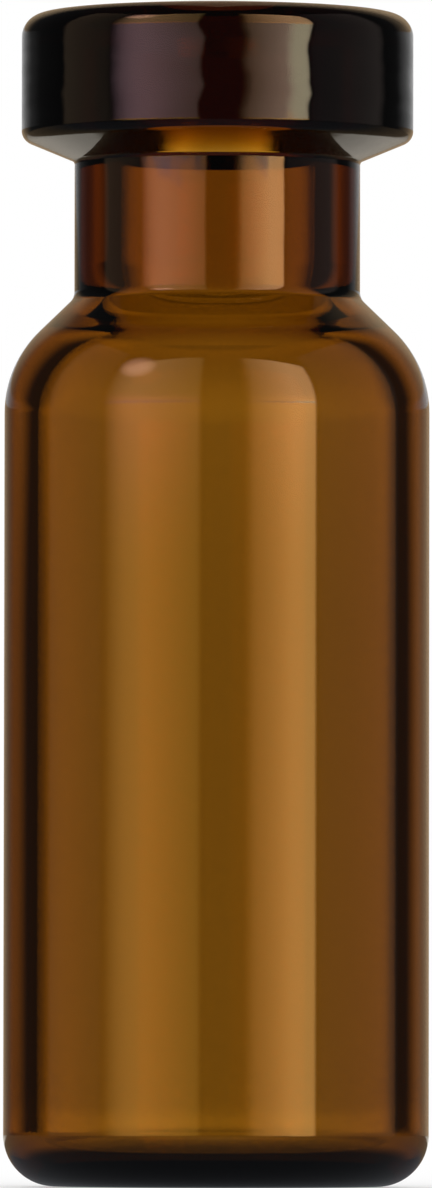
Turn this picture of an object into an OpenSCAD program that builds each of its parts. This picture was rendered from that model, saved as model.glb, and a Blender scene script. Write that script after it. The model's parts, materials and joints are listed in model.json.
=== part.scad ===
// Crimp-neck sample vial, formed in one piece from amber glass tube.
// Lengths are in millimetres and angles in degrees. The origin is in the middle of the
// standing plane and +Z runs up the axis to the mouth. The whole vial is one closed section
// turned about that axis, so each size below is a radius, a height or a rounding of it.

/* [Body] */
// Height over all, from the standing plane to the sealing face
vial_h = 32; // [30:0.1:40]
// Outside diameter of the body
body_d = 11.6; // [11:0.1:15]
// Thickness of the body's wall
body_wall = 0.91; // [0.8:0.01:1.1]
// Glass between the bore's foot and the outside of the shoulder, square to its slope
shoulder_wall = 1.07; // [0.9:0.01:1.3]
// Height at which the shoulder's cone would meet the body
shoulder_z = 22.4; // [12:0.1:23]
// Slope of the shoulder above the horizontal
shoulder_slope = 44; // [40:1:48]
// Rounding of the shoulder into the body, on the outside
shoulder_r = 3.1; // [2:0.1:3.6]
// Slope of the shoulder's inside above the horizontal
inner_slope = 39; // [36:1:42]
// Rounding of the shoulder's inside into the body
inner_shoulder_r = 2.33; // [2:0.01:2.7]

/* [Base] */
// Rounding between the body and the standing ring
foot_r = 1.4; // [1:0.05:2]
// Width of the flat ring that the vial stands on
ring_w = 0.95; // [0.5:0.05:1.4]
// Rise of the pushed-up middle of the underside
push_up_h = 0.06; // [0.03:0.01:0.2]
// Diameter of the pushed-up middle, where it is highest
push_up_d = 3; // [2.4:0.1:4.2]
// Rounding of both ends of the step up to it
push_up_round_r = 4; // [2:0.5:5]
// Height of the floor's edge inside, above the standing plane
floor_z = 0.86; // [0.8:0.01:1.5]
// Rounding between the floor and the wall, on the inside
floor_r = 0.55; // [0.3:0.05:0.8]
// Rise of the floor inside from its edge to its middle
floor_rise = 0.2; // [0.05:0.01:0.25]
// Diameter of the floor's level middle, before its edge is rounded
floor_rise_d = 4.8; // [4:0.1:6]
// Rounding of the edge of the floor's level middle
floor_rise_r = 30; // [10:1:40]

/* [Neck] */
// Outside diameter of the neck
neck_d = 7.8; // [7.4:0.05:8.2]
// Diameter of the bore through the neck and the flange
bore_d = 5.3; // [5:0.05:5.6]
// Rounding between the neck and the shoulder, on the outside
neck_foot_r = 0.4; // [0.2:0.05:0.6]
// Rounding between the neck and the underside of the flange
neck_top_r = 0.14; // [0.1:0.01:0.3]
// Rounding between the bore and the inside of the shoulder
bore_foot_r = 2.7; // [1.5:0.1:3]

/* [Crimp finish] */
// Diameter of the flange that the cap is crimped over
flange_d = 10.7; // [10.2:0.05:11]
// Height of the flange's side, before its edges are rounded
flange_side_h = 3.43; // [3:0.01:3.8]
// Slope of the flange's underside, which the cap's skirt is rolled against
flange_slope = 22.5; // [15:0.5:30]
// Rounding of the flange's lower edge
flange_low_r = 0.36; // [0.2:0.02:0.5]
// Rounding of the flange's upper edge
flange_top_r = 0.63; // [0.3:0.01:0.9]
// Rounding of the mouth's edge
mouth_r = 1.1; // [0.5:0.05:1.3]

/* [Hidden] */
$fn = 128;

AMBER = [0.45, 0.27, 0.09, 0.75];

body_r = body_d / 2;
neck_r = neck_d / 2;
bore_r = bore_d / 2;
flange_r = flange_d / 2;

// Heights where the straight lines of the outside would meet
neck_foot_z = shoulder_z + (body_r - neck_r) * tan(shoulder_slope);
flange_low_z = vial_h - flange_side_h;
neck_top_z = flange_low_z - (flange_r - neck_r) * tan(flange_slope);

// The inside of the shoulder starts one wall under its outside and falls less steeply, so that
// the glass thins towards the body
inner_r = body_r - body_wall;
outer_over_bore_z = neck_foot_z + (neck_r - bore_r) * tan(shoulder_slope);
bore_foot_z = outer_over_bore_z - shoulder_wall / cos(shoulder_slope);
inner_shoulder_z = bore_foot_z - (inner_r - bore_r) * tan(inner_slope);

// Underside: a flat ring, then a soft step up to the pushed-up middle
ring_outer_r = body_r - foot_r;
ring_inner_r = ring_outer_r - ring_w;
push_up_r = push_up_d / 2;

// The glass in section, from the middle of the underside round to the middle of the floor.
// Each corner is [radius from the axis, height, rounding].
GLASS_SECTION = [
    [0, push_up_h, 0],
    [push_up_r, push_up_h, push_up_round_r],
    [ring_inner_r, 0, push_up_round_r],
    [body_r, 0, foot_r],
    [body_r, shoulder_z, shoulder_r],
    [neck_r, neck_foot_z, neck_foot_r],
    [neck_r, neck_top_z, neck_top_r],
    [flange_r, flange_low_z, flange_low_r],
    [flange_r, vial_h, flange_top_r],
    [bore_r, vial_h, mouth_r],
    [bore_r, bore_foot_z, bore_foot_r],
    [inner_r, inner_shoulder_z, inner_shoulder_r],
    [inner_r, floor_z, floor_r],
    [floor_rise_d / 2, floor_z + floor_rise, floor_rise_r],
    [0, floor_z + floor_rise, 0]
];

// How far a rounding's patch reaches past the outline, as a factor
OVERSHOOT = 1.1;

function place(corner) = [corner[0], corner[1]];
function heading(from, to) = (to - from) / norm(to - from);

// Positive where the outline turns left at the corner, so that the glass is convex there
function turn(before, corner, after) = cross(corner - before, after - corner);

// The patch between a sharp corner and the arc of radius r that rounds it. It overshoots the
// corner a little, so that it crosses the outline instead of ending along it.
module corner_patch(before, corner, after, r) {
    back = heading(corner, before);
    ahead = heading(corner, after);
    half_angle = acos(back * ahead) / 2;
    setback = r / tan(half_angle);
    centre = corner + heading([0, 0], back + ahead) * r / sin(half_angle);
    kite = [corner, corner + back * setback, centre, corner + ahead * setback];
    difference() {
        polygon([for (point = kite) centre + (point - centre) * OVERSHOOT]);
        translate(centre) circle(r);
    }
}

// The patches of every rounded corner that turns the given way, 1 for convex and -1 for concave
module corner_patches(corners, way) {
    count = len(corners);
    for (i = [0:count - 1]) {
        before = place(corners[(i + count - 1) % count]);
        corner = place(corners[i]);
        after = place(corners[(i + 1) % count]);
        if (corners[i][2] > 0 && turn(before, corner, after) * way > 0)
            corner_patch(before, corner, after, corners[i][2]);
    }
}

// A polygon whose convex corners are trimmed, and whose concave ones are filled, to true arcs
module rounded_section(corners) {
    difference() {
        union() {
            polygon([for (corner = corners) place(corner)]);
            corner_patches(corners, -1);
        }
        corner_patches(corners, 1);
    }
}

module vial() {
    color(AMBER) rotate_extrude() rounded_section(GLASS_SECTION);
}

vial();
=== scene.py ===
"""An amber glass sample vial with a crimp neck, standing open on a pale studio floor.

The glass is one closed wall, worked out here as a section carried round the axis. Lengths are in
metres, heights are above the floor, and the camera looks along +Y with +X to its right.
"""

import json
import math

import bpy
import numpy as np
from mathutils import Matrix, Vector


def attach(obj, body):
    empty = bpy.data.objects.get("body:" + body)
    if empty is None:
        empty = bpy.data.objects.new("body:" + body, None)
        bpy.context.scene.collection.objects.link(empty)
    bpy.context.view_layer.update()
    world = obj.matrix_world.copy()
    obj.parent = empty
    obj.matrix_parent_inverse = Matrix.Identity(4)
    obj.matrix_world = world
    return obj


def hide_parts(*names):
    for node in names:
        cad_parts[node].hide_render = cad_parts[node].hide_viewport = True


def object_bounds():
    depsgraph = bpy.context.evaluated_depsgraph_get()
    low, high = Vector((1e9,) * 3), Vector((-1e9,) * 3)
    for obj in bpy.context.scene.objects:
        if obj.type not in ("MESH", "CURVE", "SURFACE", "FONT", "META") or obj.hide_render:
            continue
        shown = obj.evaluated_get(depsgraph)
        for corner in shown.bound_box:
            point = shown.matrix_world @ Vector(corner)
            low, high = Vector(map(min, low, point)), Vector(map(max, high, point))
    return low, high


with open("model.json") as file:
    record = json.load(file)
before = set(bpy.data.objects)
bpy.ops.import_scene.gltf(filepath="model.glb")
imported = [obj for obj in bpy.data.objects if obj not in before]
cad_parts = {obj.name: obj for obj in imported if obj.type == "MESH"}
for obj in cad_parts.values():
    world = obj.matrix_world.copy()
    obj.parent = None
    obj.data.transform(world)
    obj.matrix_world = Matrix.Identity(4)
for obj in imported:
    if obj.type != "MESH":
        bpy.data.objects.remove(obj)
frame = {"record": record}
CAD_LOW, CAD_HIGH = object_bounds()

MM = 0.001

# ---------------------------------------------------------------- the vial's sizes, in millimetres
# They are those of the solid.
MOUNTS = {mount["name"]: mount for mount in frame["record"]["mounts"]}
HEIGHT = (CAD_HIGH.z - CAD_LOW.z) / MM
BODY_R = (CAD_HIGH.x - CAD_LOW.x) / 2 / MM
FLANGE_R = MOUNTS["crimp_flange"]["dims"]["r_mm"]
BORE_R = MOUNTS["neck_bore"]["dims"]["r_mm"]
NECK_R = 3.9

BODY_WALL = 0.91
SHOULDER_WALL = 1.07
SHOULDER_Z = 22.4
SHOULDER_SLOPE = math.radians(44)
SHOULDER_ROUND = 3.1

FOOT_ROUND = 1.4
RING_WIDTH = 0.95
PUSH_UP_H = 0.06
PUSH_UP_R = 1.5
PUSH_UP_ROUND = 4.0
FLOOR_Z = 0.86
FLOOR_ROUND = 0.55
FLOOR_RISE = 0.2
FLOOR_RISE_R = 2.4
FLOOR_RISE_ROUND = 30.0

NECK_FOOT_ROUND = 0.4
NECK_TOP_ROUND = 0.14
BORE_FOOT_ROUND = 2.7
INNER_SLOPE = math.radians(39)
INNER_SHOULDER_ROUND = 2.33

FLANGE_SIDE = 3.43
FLANGE_SLOPE = math.radians(22.5)
FLANGE_LOW_ROUND = 0.36
FLANGE_TOP_ROUND = 0.63
MOUTH_ROUND = 1.1

# The bore is so far off the axis, towards +X, as a neck formed by heat is.
NECK_OFF_AXIS = 0.015

# How finely the section and its turn round the axis are divided. The steps are at most.
ARC_STEP = math.radians(3)
LEAST_ARC_STEPS = 3
RUN_STEP = 0.25
TURNS = 192


def wall_corners():
    """The glass in section, each corner as (radius, height, rounding), in millimetres.

    It runs from the middle of the underside round the foot, up the outside, over the mouth and
    down the inside to the middle of the floor. The inside of the shoulder starts one shoulder
    wall in from its outside, measured square to the slope, and falls less steeply.
    """
    rise = math.tan(SHOULDER_SLOPE)
    inner_r = BODY_R - BODY_WALL
    drop = SHOULDER_WALL / math.cos(SHOULDER_SLOPE)
    neck_foot_z = SHOULDER_Z + (BODY_R - NECK_R) * rise
    bore_foot_z = neck_foot_z + (NECK_R - BORE_R) * rise - drop
    flange_low_z = HEIGHT - FLANGE_SIDE
    return np.array([
        (0.0, PUSH_UP_H, 0.0),
        (PUSH_UP_R, PUSH_UP_H, PUSH_UP_ROUND),
        (BODY_R - FOOT_ROUND - RING_WIDTH, 0.0, PUSH_UP_ROUND),
        (BODY_R, 0.0, FOOT_ROUND),
        (BODY_R, SHOULDER_Z, SHOULDER_ROUND),
        (NECK_R, neck_foot_z, NECK_FOOT_ROUND),
        (NECK_R, flange_low_z - (FLANGE_R - NECK_R) * math.tan(FLANGE_SLOPE), NECK_TOP_ROUND),
        (FLANGE_R, flange_low_z, FLANGE_LOW_ROUND),
        (FLANGE_R, HEIGHT, FLANGE_TOP_ROUND),
        (BORE_R, HEIGHT, MOUTH_ROUND),
        (BORE_R, bore_foot_z, BORE_FOOT_ROUND),
        (inner_r, bore_foot_z - (inner_r - BORE_R) * math.tan(INNER_SLOPE), INNER_SHOULDER_ROUND),
        (inner_r, FLOOR_Z, FLOOR_ROUND),
        (FLOOR_RISE_R, FLOOR_Z + FLOOR_RISE, FLOOR_RISE_ROUND),
        (0.0, FLOOR_Z + FLOOR_RISE, 0.0),
    ])


def outward(heading):
    """The unit directions (z, -r) to the right of travel, which is out of the glass."""
    turned = np.stack([heading[..., 1], -heading[..., 0]], axis=-1)
    return turned / np.linalg.norm(turned, axis=-1, keepdims=True)


def straight_run(start, end, step):
    """Points S + (E - S) i/n for i = 0 to n - 1, with n the least that keeps them within step.

    They come with the direction out of the glass, the same all along the run.
    """
    count = max(1, math.ceil(float(np.linalg.norm(end - start)) / step))
    places = start + (end - start) * (np.arange(count) / count)[:, None]
    return places, np.broadcast_to(outward(end - start), places.shape)


def rounded_arc(before, corner, after, radius, arc_step):
    """The arc C + R (cos a, sin a) that rounds a corner and touches both of its sides.

    With u and v the directions from the corner to its neighbours and 2h the angle between them,
    the arc touches each side R / tan(h) from the corner, and its centre lies R / sin(h) along the
    bisector u + v. Out of the glass is to the right of the tangent (-sin a, cos a) of its turn.
    """
    back = (before - corner) / np.linalg.norm(before - corner)
    ahead = (after - corner) / np.linalg.norm(after - corner)
    half = math.acos(float(np.clip(back @ ahead, -1.0, 1.0))) / 2
    centre = corner + (back + ahead) / np.linalg.norm(back + ahead) * radius / math.sin(half)
    first, last = (corner + side * radius / math.tan(half) - centre for side in (back, ahead))
    start = math.atan2(first[1], first[0])
    turn = math.remainder(math.atan2(last[1], last[0]) - start, math.tau)
    steps = max(LEAST_ARC_STEPS, math.ceil(abs(turn) / arc_step))
    angles = start + turn * np.linspace(0.0, 1.0, steps + 1)
    spokes = np.stack([np.cos(angles), np.sin(angles)], axis=1)
    tangents = np.stack([-np.sin(angles), np.cos(angles)], axis=1) * math.copysign(1.0, turn)
    return centre + radius * spokes, outward(tangents)


def rounded_section(corners, arc_step, run_step):
    """Carries a point along the rounded section: an arc at each corner, straight in between.

    Gives the points and, at each one, the direction out of the glass.
    """
    places, radii = corners[:, :2], corners[:, 2]
    runs, here = [], places[0]
    for i in range(1, len(places) - 1):
        arc, facing = rounded_arc(places[i - 1], places[i], places[i + 1], radii[i], arc_step)
        runs += [straight_run(here, arc[0], run_step), (arc[:-1], facing[:-1])]
        here = arc[-1]
    last_run, facing = straight_run(here, places[-1], run_step)
    runs += [(last_run, facing), (places[-1:], facing[-1:])]
    return tuple(np.concatenate(part) for part in zip(*runs))


def revolved_mesh(name, rows, facings):
    """A closed mesh from rows of points round the axis, shape (rows, turns, 3), smooth to facings.

    Row i and row i + 1 are joined by the quads (i, j), (i, j + 1), (i + 1, j + 1), (i + 1, j), with
    j taken round the full turn. The first and last row are single points, closed by fans.
    """
    count, turns = rows.shape[:2]
    points = np.concatenate([rows[0, :1], rows[1:-1].reshape(-1, 3), rows[-1, :1]])
    ring = 1 + np.arange(count - 2)[:, None] * turns + np.arange(turns)
    after = np.roll(ring, -1, axis=1)
    quads = np.stack([ring[:-1], after[:-1], after[1:], ring[1:]], axis=-1).reshape(-1, 4)
    first = np.stack([np.zeros(turns, int), after[0], ring[0]], axis=-1)
    last = np.stack([np.full(turns, len(points) - 1), ring[-1], after[-1]], axis=-1)
    corners = np.concatenate([first.ravel(), quads.ravel(), last.ravel()])
    sizes = np.concatenate([np.full(turns, 3), np.full(len(quads), 4), np.full(turns, 3)])

    mesh = bpy.data.meshes.new(name)
    mesh.vertices.add(len(points))
    mesh.vertices.foreach_set("co", points.ravel())
    mesh.loops.add(len(corners))
    mesh.loops.foreach_set("vertex_index", corners)
    mesh.polygons.add(len(sizes))
    mesh.polygons.foreach_set("loop_start", np.cumsum(sizes) - sizes)
    mesh.polygons.foreach_set("loop_total", sizes)
    mesh.update(calc_edges=True)
    mesh.shade_smooth()
    normals = np.concatenate([facings[0, :1], facings[1:-1].reshape(-1, 3), facings[-1, :1]])
    mesh.normals_split_custom_set_from_vertices(normals)
    return mesh


def glass_wall():
    """Turns the section (r, z) round the axis to (r cos t, r sin t, z), with t in equal steps.

    The inside, which follows the section's highest point, is moved along +X. The move grows from
    nothing at the shoulder to its full amount one neck radius above, and fades out over the
    rounding of the mouth.
    """
    section, facing = rounded_section(wall_corners(), ARC_STEP, RUN_STEP)
    around = np.arange(TURNS) / TURNS * math.tau
    radius, height = section[:, :1], section[:, 1:]
    inside = np.arange(len(section))[:, None] > np.argmax(section[:, 1])
    below_mouth = np.interp(HEIGHT - height, (0.0, MOUTH_ROUND), (0.0, 1.0))
    above_shoulder = np.interp(height, (SHOULDER_Z, SHOULDER_Z + NECK_R), (0.0, 1.0))
    off_axis = NECK_OFF_AXIS * below_mouth * above_shoulder * inside
    places = np.stack([
        radius * np.cos(around) + off_axis,
        radius * np.sin(around),
        height + 0 * around,
    ], axis=-1)
    facings = np.stack([
        facing[:, :1] * np.cos(around),
        facing[:, :1] * np.sin(around),
        facing[:, 1:] + 0 * around,
    ], axis=-1)
    return places * MM, facings


def placed(name, data):
    """A new object at the origin, unturned and unscaled, with its place in its mesh."""
    obj = bpy.data.objects.new(name, data)
    bpy.context.collection.objects.link(obj)
    return obj


class Net:
    """A node tree with short ways to add nodes and join them.

    A method's values may be plain values or outputs, and each gives back its node's output.
    """

    def __init__(self, owner):
        owner.use_nodes = True
        self.tree = owner.node_tree
        self.tree.nodes.clear()

    def add(self, kind, **settings):
        node = self.tree.nodes.new(kind)
        for name, value in settings.items():
            setattr(node, name, value)
        return node

    def feed(self, socket, value):
        """Links an output to the socket, or sets the socket to a plain value."""
        if isinstance(value, bpy.types.NodeSocket):
            self.tree.links.new(value, socket)
        else:
            socket.default_value = value

    def math(self, operation, *values):
        node = self.add("ShaderNodeMath", operation=operation)
        for socket, value in zip(node.inputs, values):
            self.feed(socket, value)
        return node.outputs[0]

    def dot(self, one, other):
        """The dot product of two vectors, as a number."""
        node = self.add("ShaderNodeVectorMath", operation="DOT_PRODUCT")
        self.feed(node.inputs[0], one)
        self.feed(node.inputs[1], other)
        return node.outputs["Value"]

    def scaled(self, colour, factor):
        node = self.add("ShaderNodeVectorMath", operation="SCALE")
        self.feed(node.inputs[0], colour)
        self.feed(node.inputs["Scale"], factor)
        return node.outputs[0]

    def vector(self, operation, *values):
        node = self.add("ShaderNodeVectorMath", operation=operation)
        for socket, value in zip(node.inputs, values):
            self.feed(socket, value)
        return node.outputs[0]

    def added(self, colour, other):
        return self.vector("ADD", colour, other)

    def total(self, first, *others):
        for value in others:
            first = self.math("ADD", first, value)
        return first

    def product(self, first, *others):
        for value in others:
            first = self.math("MULTIPLY", first, value)
        return first

    def blend(self, factor, one, other):
        """The colour one + (other - one) factor."""
        node = self.add("ShaderNodeMix", data_type="VECTOR", clamp_factor=True)
        self.feed(node.inputs[0], factor)
        self.feed(node.inputs[4], one)
        self.feed(node.inputs[5], other)
        return node.outputs[1]

    def line(self, value, low, high):
        """The share of the way from low to high, between 0 and 1."""
        node = self.add("ShaderNodeMapRange")
        for socket, number in zip(node.inputs, (value, low, high)):
            self.feed(socket, number)
        return node.outputs[0]

    def shader(self, kind, **inputs):
        node = self.add(kind)
        for name, value in inputs.items():
            self.feed(node.inputs[name], value)
        return node.outputs[0]

    def either(self, factor, one, other):
        """The shader one where the factor is 0, and the other where it is 1."""
        node = self.add("ShaderNodeMixShader")
        for socket, value in zip(node.inputs, (factor, one, other)):
            self.feed(socket, value)
        return node.outputs[0]

    def ramp(self, value, low, high, to_low=0.0, to_high=1.0):
        """Smooth step from to_low to to_high as value goes from low to high."""
        node = self.add("ShaderNodeMapRange", interpolation_type="SMOOTHSTEP")
        for socket, number in zip(node.inputs, (value, low, high, to_low, to_high)):
            self.feed(socket, number)
        return node.outputs[0]


UP, ALONG_X, ALONG_Y = (0.0, 0.0, 1.0), (1.0, 0.0, 0.0), (0.0, 1.0, 0.0)
WHITE = (1.0, 1.0, 1.0)

# The amber, as the colour that the glass lets through and how strongly it does so to the metre.
GLASS_COLOUR = (0.7123, 0.5487, 0.0156)
GLASS_DENSITY = 3200.0
GLASS_IOR = 1.5

# Waves of the surface: how many to the metre across and up, and their height in metres. The drawn
# tube has long upright lines, the heat-formed neck and flange have rounder and deeper waves, and
# all of it has a fine skin.
DRAW_LINES = dict(across=900.0, up=25.0, height=6e-7)
FORMED_WAVES = dict(across=1300.0, up=300.0, height=4e-6)
SKIN = dict(across=7000.0, up=7000.0, height=2e-8)
WAVE_DETAIL = 2.0

# The pressed side of the flange also leans sideways in waves. Their height is a slope.
SIDEWAYS_WAVES = dict(across=260.0, up=1300.0, height=0.11)

# The heights in metres from which to which the formed and the pressed waves set in.
FORMED_BAND = (SHOULDER_Z * MM, (SHOULDER_Z + NECK_R) * MM)
PRESSED_BAND = ((HEIGHT - FLANGE_SIDE - FLANGE_R + NECK_R) * MM, (HEIGHT - FLANGE_SIDE) * MM)

# Handling leaves faint hazy patches: where the noise begins and is at its full, and how rough the
# glass is there.
HAZE_SCALE, HAZE_DETAIL = 260.0, 6.0
HAZE = (0.56, 0.78, 0.0, 0.045)


def waves(net, place, across, up, height):
    """The height of a noise field, stretched to so many waves across and up the glass."""
    noise = net.add("ShaderNodeTexNoise")
    net.feed(noise.inputs["Vector"], net.vector("MULTIPLY", place, (across, across, up)))
    net.feed(noise.inputs["Scale"], 1.0)
    net.feed(noise.inputs["Detail"], WAVE_DETAIL)
    return net.math("MULTIPLY", noise.outputs[0], height)


def amber_glass():
    """Clear glass that colours the light inside it, with a faintly uneven and hazy skin."""
    material = bpy.data.materials.new("amber_glass")
    net = Net(material)
    place = net.add("ShaderNodeTexCoord").outputs["Object"]
    height = net.dot(place, UP)
    formed = net.product(waves(net, place, **FORMED_WAVES), net.ramp(height, *FORMED_BAND))
    relief = net.total(waves(net, place, **DRAW_LINES), waves(net, place, **SKIN), formed)
    bump = net.add("ShaderNodeBump")
    net.feed(bump.inputs["Strength"], 1.0)
    net.feed(bump.inputs["Distance"], 1.0)
    net.feed(bump.inputs["Height"], relief)

    middle = SIDEWAYS_WAVES["height"] / 2
    sideways = net.math("SUBTRACT", waves(net, place, **SIDEWAYS_WAVES), middle)
    pressed = net.product(sideways, net.ramp(height, *PRESSED_BAND))
    round_the_axis = net.vector("NORMALIZE", net.vector("CROSS_PRODUCT", UP, place))
    facing = net.added(bump.outputs[0], net.scaled(round_the_axis, pressed))
    facing = net.vector("NORMALIZE", facing)

    haze = net.add("ShaderNodeTexNoise")
    net.feed(haze.inputs["Vector"], place)
    net.feed(haze.inputs["Scale"], HAZE_SCALE)
    net.feed(haze.inputs["Detail"], HAZE_DETAIL)

    shader = net.add("ShaderNodeBsdfPrincipled")
    net.feed(shader.inputs["Base Color"], (1.0, 1.0, 1.0, 1.0))
    net.feed(shader.inputs["IOR"], GLASS_IOR)
    net.feed(shader.inputs["Transmission Weight"], 1.0)
    net.feed(shader.inputs["Roughness"], net.ramp(haze.outputs[0], *HAZE))
    net.feed(shader.inputs["Normal"], facing)
    volume = net.shader(
        "ShaderNodeVolumeAbsorption", Color=(*GLASS_COLOUR, 1.0), Density=GLASS_DENSITY)
    out = net.add("ShaderNodeOutputMaterial")
    net.feed(out.inputs["Surface"], shader.outputs[0])
    net.feed(out.inputs["Volume"], volume)
    return material


# ---------------------------------------------------------------- the studio
# Azimuths are in degrees from the camera's side, growing towards +X. A panel is flat and upright,
# faces the vial along its facing azimuth, runs between two azimuths, and its bottom and top are
# elevations straight ahead of it. Its sides fade over the given azimuths, and its light goes from
# the left colour to the right one, which it reaches at the azimuth in full. A lamp is a panel with
# a tint for what the neck, the flange and the steeper glass mirror. A card is a panel that only
# returns light.
EDGE = 0.06
LAMPS = [
    dict(facing=-8.0, sides=(-66.0, -7.4), fade=(28.0, 4.0), full=-7.4, bottom=-8.0, top=50.5,
         left=(5.75, 2.87, 0.66), right=(1.0, 0.60, 0.09),
         neck=(1.55, 1.20, 2.8), flange=(0.64, 0.76, 3.8), high=(0.80, 0.90, 1.9)),
    dict(facing=5.0, sides=(12.6, 56.5), fade=(9.0, 3.0), full=43.0, bottom=-8.0, top=50.5,
         left=(0.7, 0.30, 0.02), right=(5.7, 3.1, 0.92),
         neck=(1.45, 1.36, 1.80), flange=(0.61, 0.77, 1.9), high=(0.92, 0.97, 1.6)),
]
CARDS = [
    dict(facing=-84.0, sides=(-106.0, -62.0), fade=(6.0, 6.0), full=-62.0, bottom=-8.0, top=50.0,
         left=(0.30, 0.21, 0.13), right=(0.14, 0.10, 0.07)),
    dict(facing=84.0, sides=(54.0, 118.0), fade=(6.0, 10.0), full=118.0, bottom=-8.0, top=50.0,
         left=(0.10, 0.08, 0.08), right=(0.22, 0.18, 0.16)),
]

# A bright spot in each lamp. The right one shows in the flange's strip alone, and ends at its
# lamp's right side. The rest of the room is dim.
LEFT_SPOT = dict(azimuth=-51.0, elevation=37.0, reach=11.0, colour=(4.2, 2.2, 1.6))
RIGHT_SPOT = dict(azimuth=52.0, elevation=6.0, reach=13.0, colour=(1.7, 2.1, 1.2))
SPOT_SIDE = math.radians(LAMPS[1]["sides"][1])
ROOM = 0.032

# The lamps change with the slope up from the vial: from what the body mirrors to what the neck
# mirrors, again over a narrow strip that only the flange mirrors, and above it. A strip has the
# slopes from which to which it sets in, and those of its end, the upper one first.
RISE = (0.035, 0.060)
HIGH_RISE = (0.075, 0.24)
LAMP_STRIP, LAMP_STRIP_END = (0.0667, 0.0697), (0.1150, 0.0840)


def slope(azimuth_or_elevation):
    """The tangent of an angle in degrees."""
    return math.tan(math.radians(azimuth_or_elevation))


def panel(net, direction, facing, sides, fade, full, bottom, top, left, right):
    """A flat panel's light: a smooth window in the slopes across and up from where it faces."""
    a = math.radians(facing)
    depth = net.dot(direction, (math.sin(a), -math.cos(a), 0.0))
    across = net.math("DIVIDE", net.dot(direction, (math.cos(a), math.sin(a), 0.0)), depth)
    up = net.math("DIVIDE", net.dot(direction, UP), depth)
    first, last = (slope(side - facing) for side in sides)
    low, high = slope(bottom), slope(top)
    risen, ebb = slope(sides[0] + fade[0] - facing), slope(sides[1] - fade[1] - facing)
    window = net.product(
        net.ramp(across, first, risen), net.ramp(across, last, ebb),
        net.ramp(up, low, low + EDGE), net.ramp(up, high, high - EDGE),
        net.math("GREATER_THAN", depth, 0.0))
    colour = net.blend(net.line(across, first, slope(full - facing)), left, right)
    return net.scaled(colour, window)


def lamp(net, direction, rise, strip, neck, flange, high, **window):
    """A panel's light times its tint, which goes from white to the neck's and on to the high one.

    In the strip it is the flange's tint instead.
    """
    tint = net.blend(net.ramp(rise, *RISE), WHITE, neck)
    tint = net.blend(net.ramp(rise, *HIGH_RISE), tint, high)
    tint = net.blend(strip, tint, flange)
    return net.vector("MULTIPLY", panel(net, direction, **window), tint)


def hot_spot(net, direction, azimuth, elevation, reach, colour):
    """A soft round light: a smooth step in the cosine of the angle from its middle."""
    a, e = math.radians(azimuth), math.radians(elevation)
    middle = (math.cos(e) * math.sin(a), -math.cos(e) * math.cos(a), math.sin(e))
    near = net.ramp(net.dot(direction, middle), math.cos(math.radians(reach)), 1.0)
    return net.scaled(colour, near)


# The backdrop behind the vial, as it is seen through the glass. A ramp has the slope where it
# begins and the slope where it ends, and the brightness at both where that isn't 0 and 1. Across,
# the backdrop is gone at the first slope of each side and full at the second, it is DIM in its
# middle and the wings lift it, and it is wider where the neck shows it.
BACKDROP_LEFT, BACKDROP_RIGHT = (0.84, 0.24, 0.035), (0.80, 0.30, 0.035)
DIM = 0.86
WING_LEFT, WING_RIGHT = (0.05, 0.30, 0.0, 0.64), (0.05, 0.40, 0.0, 0.64)
NECK_WIDE, NECK_WIDE_END = (0.030, 0.062), (0.15, 0.09)
WIDER_LEFT, WIDER_RIGHT = 0.32, 0.10

# Upwards, it changes with what shows it: the neck, the shoulder, and the ceiling high above.
NECK_LIFT = (0.030, 0.070, 1.0, 1.33)
SHOULDER_DROP = (0.09, 0.20, 1.0, 0.90)
HIGH_LIFT = (0.9, 1.15, 1.0, 1.2)
CEILING = (1.6, 2.4, 1.0, 0.15)

# Where it meets the table it is brighter, and then darker along an edge that bends down at the
# sides. Further below, the glass sees the far table.
TABLE_LIFT = (-0.0028, -0.0043, 1.0, 1.36)
TABLE_EDGE = (-0.00445, -0.0051, 1.0, 0.4)
TABLE_BEND = 4.0
BELOW = (-0.015, -0.03)
BELOW_LIGHT = 0.9

# The backdrop in the gloss of the glass: dim and narrow, with more of it on the right, in the
# flange's strip, and high up.
MIRRORED_LOW = (0.78, 0.05, 0.0, 0.29)
MIRRORED_RIGHT, MIRRORED_RIGHT_START = (1.15, 0.65, 0.0, 0.13), (0.05, 0.30)
MIRRORED_WIDE = (1.3, 0.5, 0.0, 0.06)
MIRRORED_HIGH, HIGH_FROM = (0.60, 0.42, 0.0, 0.12), (0.12, 0.5)
MIRRORED_TINT = (1.32, 0.93, 0.54)
BACKDROP_STRIP, BACKDROP_STRIP_END, STRIP_LIFT = (0.064, 0.070), (0.15, 0.11), 0.6


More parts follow.
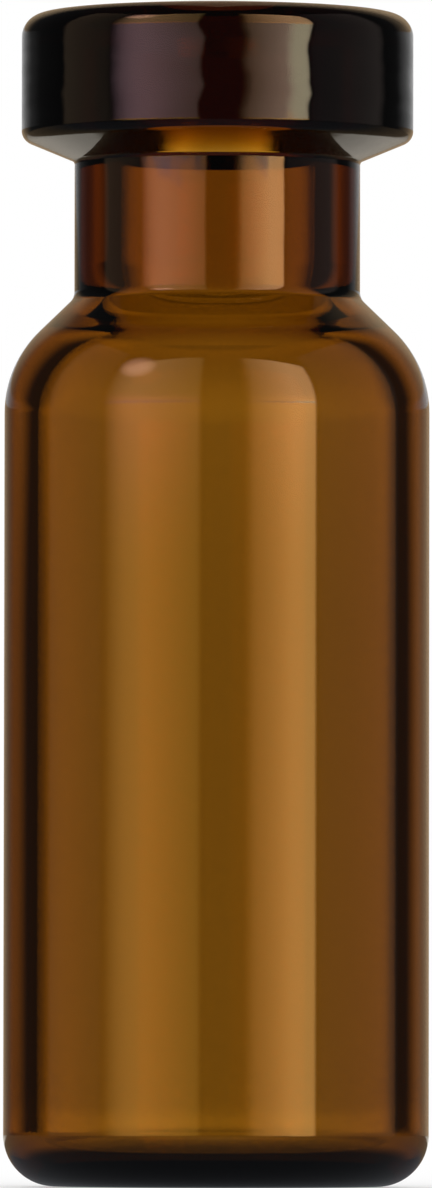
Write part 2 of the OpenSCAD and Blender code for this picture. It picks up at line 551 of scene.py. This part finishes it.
def backdrop(net, direction, rise):
    """The backdrop's brightness through the glass, and its colour in the gloss.

    Both are products and sums of smooth steps in the slopes across and up from straight behind.
    """
    depth = net.dot(direction, ALONG_Y)
    side = net.math("DIVIDE", net.dot(direction, ALONG_X), depth)
    beside = net.math("ABSOLUTE", side)
    up = net.math("DIVIDE", net.dot(direction, UP), depth)
    front = net.math("GREATER_THAN", depth, 0.0)

    wide = net.product(net.ramp(rise, *NECK_WIDE), net.ramp(rise, *NECK_WIDE_END))
    to_left = net.math(
        "DIVIDE", net.product(side, -1.0), net.total(1.0, net.product(wide, WIDER_LEFT)))
    to_right = net.math("DIVIDE", side, net.total(1.0, net.product(wide, WIDER_RIGHT)))
    wings = net.total(DIM, net.ramp(to_left, *WING_LEFT), net.ramp(to_right, *WING_RIGHT))
    bend = net.total(1.0, net.product(side, side, TABLE_BEND))
    through = net.product(
        net.ramp(to_left, *BACKDROP_LEFT), net.ramp(to_right, *BACKDROP_RIGHT), wings,
        net.ramp(up, *NECK_LIFT), net.ramp(up, *SHOULDER_DROP), net.ramp(up, *HIGH_LIFT),
        net.ramp(up, *CEILING), net.ramp(up, *TABLE_LIFT),
        net.ramp(net.math("DIVIDE", up, bend), *TABLE_EDGE), front)

    strip = net.product(net.ramp(up, *BACKDROP_STRIP), net.ramp(up, *BACKDROP_STRIP_END))
    lift = net.total(1.0, net.product(strip, STRIP_LIFT))
    gloss = net.total(
        net.product(net.ramp(beside, *MIRRORED_LOW), lift),
        net.product(strip, net.ramp(beside, *MIRRORED_WIDE)),
        net.product(net.ramp(side, *MIRRORED_RIGHT), net.ramp(side, *MIRRORED_RIGHT_START)),
        net.product(net.ramp(beside, *MIRRORED_HIGH), net.ramp(up, *HIGH_FROM)))
    tint = net.blend(strip, MIRRORED_TINT, WHITE)
    return through, net.scaled(tint, net.product(gloss, front))


def studio_world():
    """Plain white for the camera and the floor, and the lamps and the backdrop for the glass."""
    world = bpy.data.worlds.new("studio")
    bpy.context.scene.world = world
    net = Net(world)
    path = net.add("ShaderNodeLightPath")
    direction = net.add("ShaderNodeTexCoord").outputs["Generated"]
    up = net.dot(direction, UP)
    flat = net.math("SQRT", net.math("SUBTRACT", 1.0, net.product(up, up)))
    rise = net.math("DIVIDE", up, flat)

    strip = net.product(net.ramp(rise, *LAMP_STRIP), net.ramp(rise, *LAMP_STRIP_END))
    lamps = (ROOM,) * 3
    for settings in LAMPS:
        lamps = net.added(lamps, lamp(net, direction, rise, strip, **settings))
    lamps = net.added(lamps, hot_spot(net, direction, **LEFT_SPOT))
    past_side = net.dot(direction, (math.cos(SPOT_SIDE), math.sin(SPOT_SIDE), 0.0))
    shown = net.product(strip, net.ramp(past_side, 0.0, -EDGE))
    lamps = net.added(lamps, net.scaled(hot_spot(net, direction, **RIGHT_SPOT), shown))
    for settings in CARDS:
        lamps = net.added(lamps, panel(net, direction, **settings))

    seen, mirrored = backdrop(net, direction, rise)
    gloss = net.added(lamps, mirrored)
    through = net.added(lamps, net.scaled(WHITE, seen))
    through = net.blend(net.ramp(rise, *BELOW), through, (BELOW_LIGHT,) * 3)
    # A ray that has left the glass is both kinds at once, so what it sees through comes last.
    colour = net.blend(path.outputs["Is Glossy Ray"], WHITE, gloss)
    colour = net.blend(path.outputs["Is Transmission Ray"], colour, through)
    back = net.add("ShaderNodeBackground")
    net.feed(back.inputs["Color"], colour)
    out = net.add("ShaderNodeOutputWorld")
    net.feed(out.inputs["Surface"], back.outputs[0])


# The floor's half width and how far it lies under the vial, in metres, and how much of its white
# comes from the light that falls on it and how much from its own.
FLOOR_HALF = 4.0
FLOOR_DROP = 0.00002
FLOOR_TINT, FLOOR_GLOW = 0.55, 0.45

# Ramps by the distance from the vial's axis in metres. First the floor through the glass, which is
# painted light and shade, not lit: a little painted light right under the vial, a painted contact
# shadow where it touches, and painted light further out.
PAINTED_LIGHT_UNDER_VIAL = (0.0034, 0.0038, 0.105, 0.0)
PAINTED_CONTACT_SHADOW = (0.0050, 0.0065, 0.03, 0.80)
PAINTED_LIGHT_FURTHER_OUT = (0.009, 0.025, 0.0, 0.08)
SEEN_THROUGH_REACH = 0.3

# Then the floor in the gloss of the glass, as a painted reflection that glows and is not lit: a
# darker colour in front of the vial and a lighter one from its sides to its back, painted shade
# near the vial, a bright painted strip of light straight behind it that fades further out, and
# nothing past the last distance. The directions are by the cosine of the angle from straight
# behind.
GLOSS_FRONT, GLOSS_BACK = (0.095, 0.100, 0.108), (0.17, 0.125, 0.08)
GLOSS_PAINTED_SHADE_NEAR = (0.006, 0.012)
SIDE_TO_BACK, STRAIGHT_BEHIND = (0.0, 0.7), (0.89, 0.945)
PAINTED_LIGHT_STRIP_BEHIND, PAINTED_LIGHT_STRIP_FADE = (0.033, 0.040, 0.0, 0.58), (0.055, 0.16, 1.0, 0.6)
BEHIND_TINT = (1.0, 0.97, 0.88)
GLOSS_REACH = (0.25, 0.15)


def floor():
    """A flat white square that takes the vial's shadow. The glass sees it through and mirrors it
    with painted light and painted shade.
    """
    mesh = bpy.data.meshes.new("studio_floor")
    half = FLOOR_HALF
    corners = [(-half, -half), (half, -half), (half, half), (-half, half)]
    mesh.from_pydata([(x, y, -FLOOR_DROP) for x, y in corners], [], [(0, 1, 2, 3)])
    obj = placed("studio_floor", mesh)
    material = bpy.data.materials.new("studio_floor")
    mesh.materials.append(material)
    net = Net(material)

    place = net.add("ShaderNodeTexCoord").outputs["Object"]
    distance = net.math("SQRT", net.dot(place, place))
    straight = net.math("DIVIDE", net.dot(place, ALONG_Y), distance)

    paper = net.add("ShaderNodeAddShader")
    tint = (FLOOR_TINT,) * 3 + (1.0,)
    net.feed(paper.inputs[0], net.shader("ShaderNodeBsdfDiffuse", Color=tint))
    net.feed(paper.inputs[1], net.shader("ShaderNodeEmission", Strength=FLOOR_GLOW))
    clear = net.shader("ShaderNodeBsdfTransparent")

    # Painted light and shade, as an emission: the painted contact shadow, the painted light under
    # the vial and the painted light further out, as the glass sees the floor through it.
    light = net.total(*(net.ramp(distance, *ring) for ring in (PAINTED_CONTACT_SHADOW, PAINTED_LIGHT_UNDER_VIAL, PAINTED_LIGHT_FURTHER_OUT)))
    near = net.math("LESS_THAN", distance, SEEN_THROUGH_REACH)
    seen = net.either(near, clear, net.shader("ShaderNodeEmission", Strength=light))

    # The mirrored floor as a painted reflection: painted shade near the vial and in front of it,
    # painted light to its back, and a painted strip of light straight behind it.
    back = net.product(net.ramp(straight, *SIDE_TO_BACK), net.ramp(distance, *GLOSS_PAINTED_SHADE_NEAR))
    behind = net.product(
        net.ramp(straight, *STRAIGHT_BEHIND), net.ramp(distance, *PAINTED_LIGHT_STRIP_BEHIND),
        net.ramp(distance, *PAINTED_LIGHT_STRIP_FADE))
    light = net.added(net.blend(back, GLOSS_FRONT, GLOSS_BACK), net.scaled(BEHIND_TINT, behind))
    mirrored = net.shader("ShaderNodeEmission", Color=light)
    mirrored = net.either(net.ramp(distance, *GLOSS_REACH), clear, mirrored)

    path = net.add("ShaderNodeLightPath")
    look = net.either(path.outputs["Is Glossy Ray"], paper.outputs[0], mirrored)
    look = net.either(path.outputs["Is Transmission Ray"], look, seen)
    out = net.add("ShaderNodeOutputMaterial")
    net.feed(out.inputs["Surface"], look)


# The camera's place in metres, how far it looks up from level and how far it leans, in degrees,
# its lens in millimetres, and how often light may meet a glass face on its way.
EYE = (0.0, -0.366, 0.0033)
LEVEL, LOOK_UP = 90.0, 2.0116
CAMERA_ROLL = -0.09
SENSOR_WIDTH, FOCAL_LENGTH = 36.0, 406.67
CLIP_NEAR, CLIP_FAR = 0.01, 50.0
LIGHT_BOUNCES = 24


def camera():
    """A long lens at the height of the vial's foot, looking a little up at it."""
    data = bpy.data.cameras.new("camera")
    data.sensor_width = SENSOR_WIDTH
    data.lens = FOCAL_LENGTH
    data.clip_start = CLIP_NEAR
    data.clip_end = CLIP_FAR
    obj = placed("camera", data)
    obj.location = EYE
    turns = (LEVEL + LOOK_UP, CAMERA_ROLL, 0.0)
    obj.rotation_euler = tuple(math.radians(angle) for angle in turns)
    bpy.context.scene.camera = obj


mesh = revolved_mesh("vial_glass", *glass_wall())
vial = placed("vial_glass", mesh)
mesh.materials.append(amber_glass())
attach(vial, "root")
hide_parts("vial")

studio_world()
floor()
camera()

scene = bpy.context.scene
scene.view_settings.view_transform = "Standard"
scene.cycles.max_bounces = LIGHT_BOUNCES
scene.cycles.glossy_bounces = LIGHT_BOUNCES
scene.cycles.transmission_bounces = LIGHT_BOUNCES
